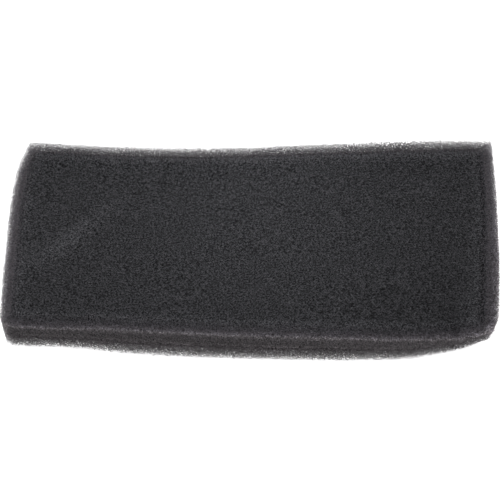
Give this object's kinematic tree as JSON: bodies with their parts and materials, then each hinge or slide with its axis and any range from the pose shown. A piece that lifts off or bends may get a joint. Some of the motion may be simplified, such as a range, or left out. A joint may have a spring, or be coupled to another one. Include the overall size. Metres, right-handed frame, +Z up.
{
  "type": "foam air filter element",
  "caption": "Flat rectangular slab of open-cell foam that cleans the intake air of a small engine and lies loose in the air cleaner's tray.",
  "frame": {"origin": "centre of the lower large face, the face that the pad lies on", "axes": "+X along the length, +Y along the width, +Z up through the thickness"},
  "size_m": [0.18, 0.08, 0.015],
  "materials": {
    "filter_foam": "matte"
  },
  "bodies": {
    "root": {"foam_pad": "filter_foam"}
  },
  "joints": []
}
